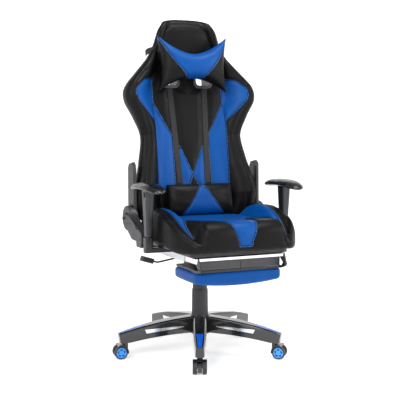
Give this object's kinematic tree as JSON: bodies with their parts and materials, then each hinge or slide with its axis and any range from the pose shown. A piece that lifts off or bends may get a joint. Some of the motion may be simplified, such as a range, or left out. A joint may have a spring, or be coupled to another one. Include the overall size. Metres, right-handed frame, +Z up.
{
  "type": "gaming chair",
  "caption": "Bucket-style gaming chair on a five-star caster base, with gas lift, tilt, reclining winged back, neck and lumbar cushions, adjustable arms and a pull-out footrest.",
  "frame": {"origin": "On the floor, on the axis of the gas lift", "axes": "+Z up, the sitter faces -Y, +X is the sitter's left"},
  "size_m": [0.6613, 0.7314, 1.2965],
  "materials": {
    "base_star": "glossy black glass-filled nylon",
    "leg_inlays": "glossy blue plastic",
    "leg_trim_strips": "bright silver",
    "caster_stems": "zinc plated",
    "lift_stand_tube": "black powder coat",
    "lift_cover_lower": "fine matt",
    "lift_cover_middle": "fine matt",
    "lift_cover_upper": "fine matt",
    "lift_piston_rod": "ground and chromed",
    "lift_pressure_tube": "bright",
    "tilt_housing": "black powder coat",
    "lift_release_button": "turned",
    "height_lever": "steel rod and a black plastic paddle",
    "tension_knob": "ribbed, fine matt",
    "tilt_top_plate": "black powder coat",
    "tilt_pivot_pin": "zinc plated",
    "seat_frame": "black powder coat",
    "seat_bolts": "black zinc",
    "seat_cushion": "black and blue coated fabric over foam",
    "seat_bolsters": "black and blue coated fabric over foam",
    "footrest_guides": "silver",
    "recliner_seat_plates": "black powder coat",
    "recliner_seat_covers": "grained, dark grey",
    "arm_bracket_left": "satin black powder coat",
    "arm_bracket_right": "satin black powder coat",
    "back_frame": "black powder coat",
    "back_cushion": "black and blue coated fabric over foam",
    "back_wings": "black and blue coated fabric over foam",
    "strap_hole_bezels": "dark grey, satin",
    "recliner_back_plates": "black powder coat",
    "recliner_back_covers": "grained, dark grey",
    "headrest_pillow": "black and blue coated fabric over foam",
    "lumbar_cushion": "black and blue coated fabric over foam",
    "back_straps": "black webbing and elastic",
    "recline_lever": "fine matt",
    "arm_sleeve_left": "satin black plastic",
    "arm_sleeve_right": "satin black plastic",
    "arm_pad_left": "glossy skinned foam",
    "arm_pad_right": "glossy skinned foam",
    "arm_button_left": "fine matt",
    "arm_button_right": "fine matt",
    "footrest_rails": "bright",
    "footrest_tray": "dark grey",
    "footrest_board": "black",
    "footrest_pad": "blue coated fabric over foam",
    "caster_1_housing": "glossy black nylon",
    "caster_1_wheels": "black polyurethane tread",
    "caster_1_hub_caps": "glossy bright blue",
    "caster_2_housing": "glossy black nylon",
    "caster_2_wheels": "black polyurethane tread",
    "caster_2_hub_caps": "glossy bright blue",
    "caster_3_housing": "glossy black nylon",
    "caster_3_wheels": "black polyurethane tread",
    "caster_3_hub_caps": "glossy bright blue",
    "caster_4_housing": "glossy black nylon",
    "caster_4_wheels": "black polyurethane tread",
    "caster_4_hub_caps": "glossy bright blue",
    "caster_5_housing": "glossy black nylon",
    "caster_5_wheels": "black polyurethane tread",
    "caster_5_hub_caps": "glossy bright blue"
  },
  "bodies": {
    "base": {"base_star": "base_star", "leg_inlays": "leg_inlays", "leg_trim_strips": "leg_trim_strips", "caster_stems": "caster_stems", "lift_stand_tube": "lift_stand_tube", "lift_cover_lower": "lift_cover_lower"},
    "cover_middle": {"lift_cover_middle": "lift_cover_middle"},
    "lift_rod": {"lift_piston_rod": "lift_piston_rod"},
    "column": {"lift_pressure_tube": "lift_pressure_tube", "lift_cover_upper": "lift_cover_upper", "tilt_housing": "tilt_housing"},
    "release_button": {"lift_release_button": "lift_release_button"},
    "lever": {"height_lever": "height_lever"},
    "knob": {"tension_knob": "tension_knob"},
    "seat": {"tilt_top_plate": "tilt_top_plate", "tilt_pivot_pin": "tilt_pivot_pin", "seat_frame": "seat_frame", "seat_bolts": "seat_bolts", "seat_cushion": "seat_cushion", "seat_bolsters": "seat_bolsters", "footrest_guides": "footrest_guides", "recliner_seat_plates": "recliner_seat_plates", "recliner_seat_covers": "recliner_seat_covers", "arm_bracket_left": "arm_bracket_left", "arm_bracket_right": "arm_bracket_right"},
    "back": {"back_frame": "back_frame", "back_cushion": "back_cushion", "back_wings": "back_wings", "strap_hole_bezels": "strap_hole_bezels", "recliner_back_plates": "recliner_back_plates", "recliner_back_covers": "recliner_back_covers", "headrest_pillow": "headrest_pillow", "lumbar_cushion": "lumbar_cushion", "back_straps": "back_straps"},
    "recline_lever": {"recline_lever": "recline_lever"},
    "arm_left": {"arm_sleeve_left": "arm_sleeve_left", "arm_pad_left": "arm_pad_left"},
    "arm_right": {"arm_sleeve_right": "arm_sleeve_right", "arm_pad_right": "arm_pad_right"},
    "arm_button_left": {"arm_button_left": "arm_button_left"},
    "arm_button_right": {"arm_button_right": "arm_button_right"},
    "footrest_slide": {"footrest_rails": "footrest_rails", "footrest_tray": "footrest_tray"},
    "footrest": {"footrest_board": "footrest_board", "footrest_pad": "footrest_pad"},
    "caster_1": {"caster_1_housing": "caster_1_housing"},
    "caster_1_wheelset": {"caster_1_wheels": "caster_1_wheels", "caster_1_hub_caps": "caster_1_hub_caps"},
    "caster_2": {"caster_2_housing": "caster_2_housing"},
    "caster_2_wheelset": {"caster_2_wheels": "caster_2_wheels", "caster_2_hub_caps": "caster_2_hub_caps"},
    "caster_3": {"caster_3_housing": "caster_3_housing"},
    "caster_3_wheelset": {"caster_3_wheels": "caster_3_wheels", "caster_3_hub_caps": "caster_3_hub_caps"},
    "caster_4": {"caster_4_housing": "caster_4_housing"},
    "caster_4_wheelset": {"caster_4_wheels": "caster_4_wheels", "caster_4_hub_caps": "caster_4_hub_caps"},
    "caster_5": {"caster_5_housing": "caster_5_housing"},
    "caster_5_wheelset": {"caster_5_wheels": "caster_5_wheels", "caster_5_hub_caps": "caster_5_hub_caps"}
  },
  "joints": [
    {"name": "seat_swivel", "type": "hinge", "parent": "base", "child": "lift_rod", "pos_m": [0, 0, 0.062], "axis": [0, 0, 1], "continuous": true},
    {"name": "seat_height", "type": "slide", "parent": "lift_rod", "child": "column", "axis": [0, 0, 1], "range_m": [-0.08, 0]},
    {"name": "cover_middle_slide", "type": "slide", "parent": "base", "child": "cover_middle", "axis": [0, 0, 1], "range_m": [-0.04, 0]},
    {"name": "lever_lift", "type": "hinge", "parent": "column", "child": "lever", "pos_m": [-0.036, 0, 0.38475], "axis": [0, 1, 0], "range_deg": [0, 5], "stiffness_Nm_per_rad": 4, "springref_deg": -17.19},
    {"name": "button_press", "type": "slide", "parent": "column", "child": "release_button", "axis": [0, 0, -1], "range_m": [0, 0.0034], "stiffness_N_per_m": 300},
    {"name": "knob_turn", "type": "hinge", "parent": "column", "child": "knob", "pos_m": [0, -0.082, 0.32], "axis": [0, 0, 1], "continuous": true},
    {"name": "seat_tilt", "type": "hinge", "parent": "column", "child": "seat", "pos_m": [0, -0.066, 0.38], "axis": [-1, 0, 0], "range_deg": [0, 12]},
    {"name": "back_recline", "type": "hinge", "parent": "seat", "child": "back", "pos_m": [0, 0.042, 0.532], "axis": [-1, 0, 0], "range_deg": [0, 60]},
    {"name": "recline_lever_pull", "type": "hinge", "parent": "seat", "child": "recline_lever", "pos_m": [-0.2855, 0.042, 0.532], "axis": [-1, 0, 0], "range_deg": [0, 22], "stiffness_Nm_per_rad": 1.2, "springref_deg": -17.19},
    {"name": "arm_height_left", "type": "slide", "parent": "seat", "child": "arm_left", "axis": [0, 0, 1], "range_m": [0, 0.06]},
    {"name": "arm_height_right", "type": "slide", "parent": "seat", "child": "arm_right", "axis": [0, 0, 1], "range_m": [0, 0.06]},
    {"name": "arm_button_left_press", "type": "slide", "parent": "arm_left", "child": "arm_button_left", "axis": [-1, 0, 0], "range_m": [0, 0.0025], "stiffness_N_per_m": 400},
    {"name": "arm_button_right_press", "type": "slide", "parent": "arm_right", "child": "arm_button_right", "axis": [1, 0, 0], "range_m": [0, 0.0025], "stiffness_N_per_m": 400},
    {"name": "footrest_extend", "type": "slide", "parent": "seat", "child": "footrest_slide", "axis": [0, -1, 0], "range_m": [0, 0.2]},
    {"name": "footrest_flip", "type": "hinge", "parent": "footrest_slide", "child": "footrest", "pos_m": [0, -0.366, 0.386], "axis": [1, 0, 0], "range_deg": [-180, 0]},
    {"name": "caster_1_swivel", "type": "hinge", "parent": "base", "child": "caster_1", "pos_m": [-0.12536, -0.27255, 0.06], "axis": [0, 0, 1], "continuous": true},
    {"name": "caster_1_roll", "type": "hinge", "parent": "caster_1", "child": "caster_1_wheelset", "pos_m": [-0.13288, -0.28891, 0.025], "axis": [0.9085, -0.4179, 0], "continuous": true},
    {"name": "caster_2_swivel", "type": "hinge", "parent": "base", "child": "caster_2", "pos_m": [0.22047, -0.20345, 0.06], "axis": [0, 0, 1], "continuous": true},
    {"name": "caster_2_roll", "type": "hinge", "parent": "caster_2", "child": "caster_2_wheelset", "pos_m": [0.2337, -0.21566, 0.025], "axis": [0.6782, 0.7349, 0], "continuous": true},
    {"name": "caster_3_swivel", "type": "hinge", "parent": "base", "child": "caster_3", "pos_m": [0.26162, 0.14682, 0.06], "axis": [0, 0, 1], "continuous": true},
    {"name": "caster_3_roll", "type": "hinge", "parent": "caster_3", "child": "caster_3_wheelset", "pos_m": [0.27732, 0.15562, 0.025], "axis": [-0.4894, 0.8721, 0], "continuous": true},
    {"name": "caster_4_swivel", "type": "hinge", "parent": "base", "child": "caster_4", "pos_m": [-0.05878, 0.29418, 0.06], "axis": [0, 0, 1], "continuous": true},
    {"name": "caster_4_roll", "type": "hinge", "parent": "caster_4", "child": "caster_4_wheelset", "pos_m": [-0.06231, 0.31183, 0.025], "axis": [-0.9806, -0.1959, 0], "continuous": true},
    {"name": "caster_5_swivel", "type": "hinge", "parent": "base", "child": "caster_5", "pos_m": [-0.29795, 0.035, 0.06], "axis": [0, 0, 1], "continuous": true},
    {"name": "caster_5_roll", "type": "hinge", "parent": "caster_5", "child": "caster_5_wheelset", "pos_m": [-0.31583, 0.0371, 0.025], "axis": [-0.1167, -0.9932, 0], "continuous": true}
  ],
  "couplings": [
    {"joint": "cover_middle_slide", "follows": "seat_height", "ratio": 0.5},
    {"joint": "button_press", "follows": "lever_lift", "m_per_rad": 0.038}
  ]
}
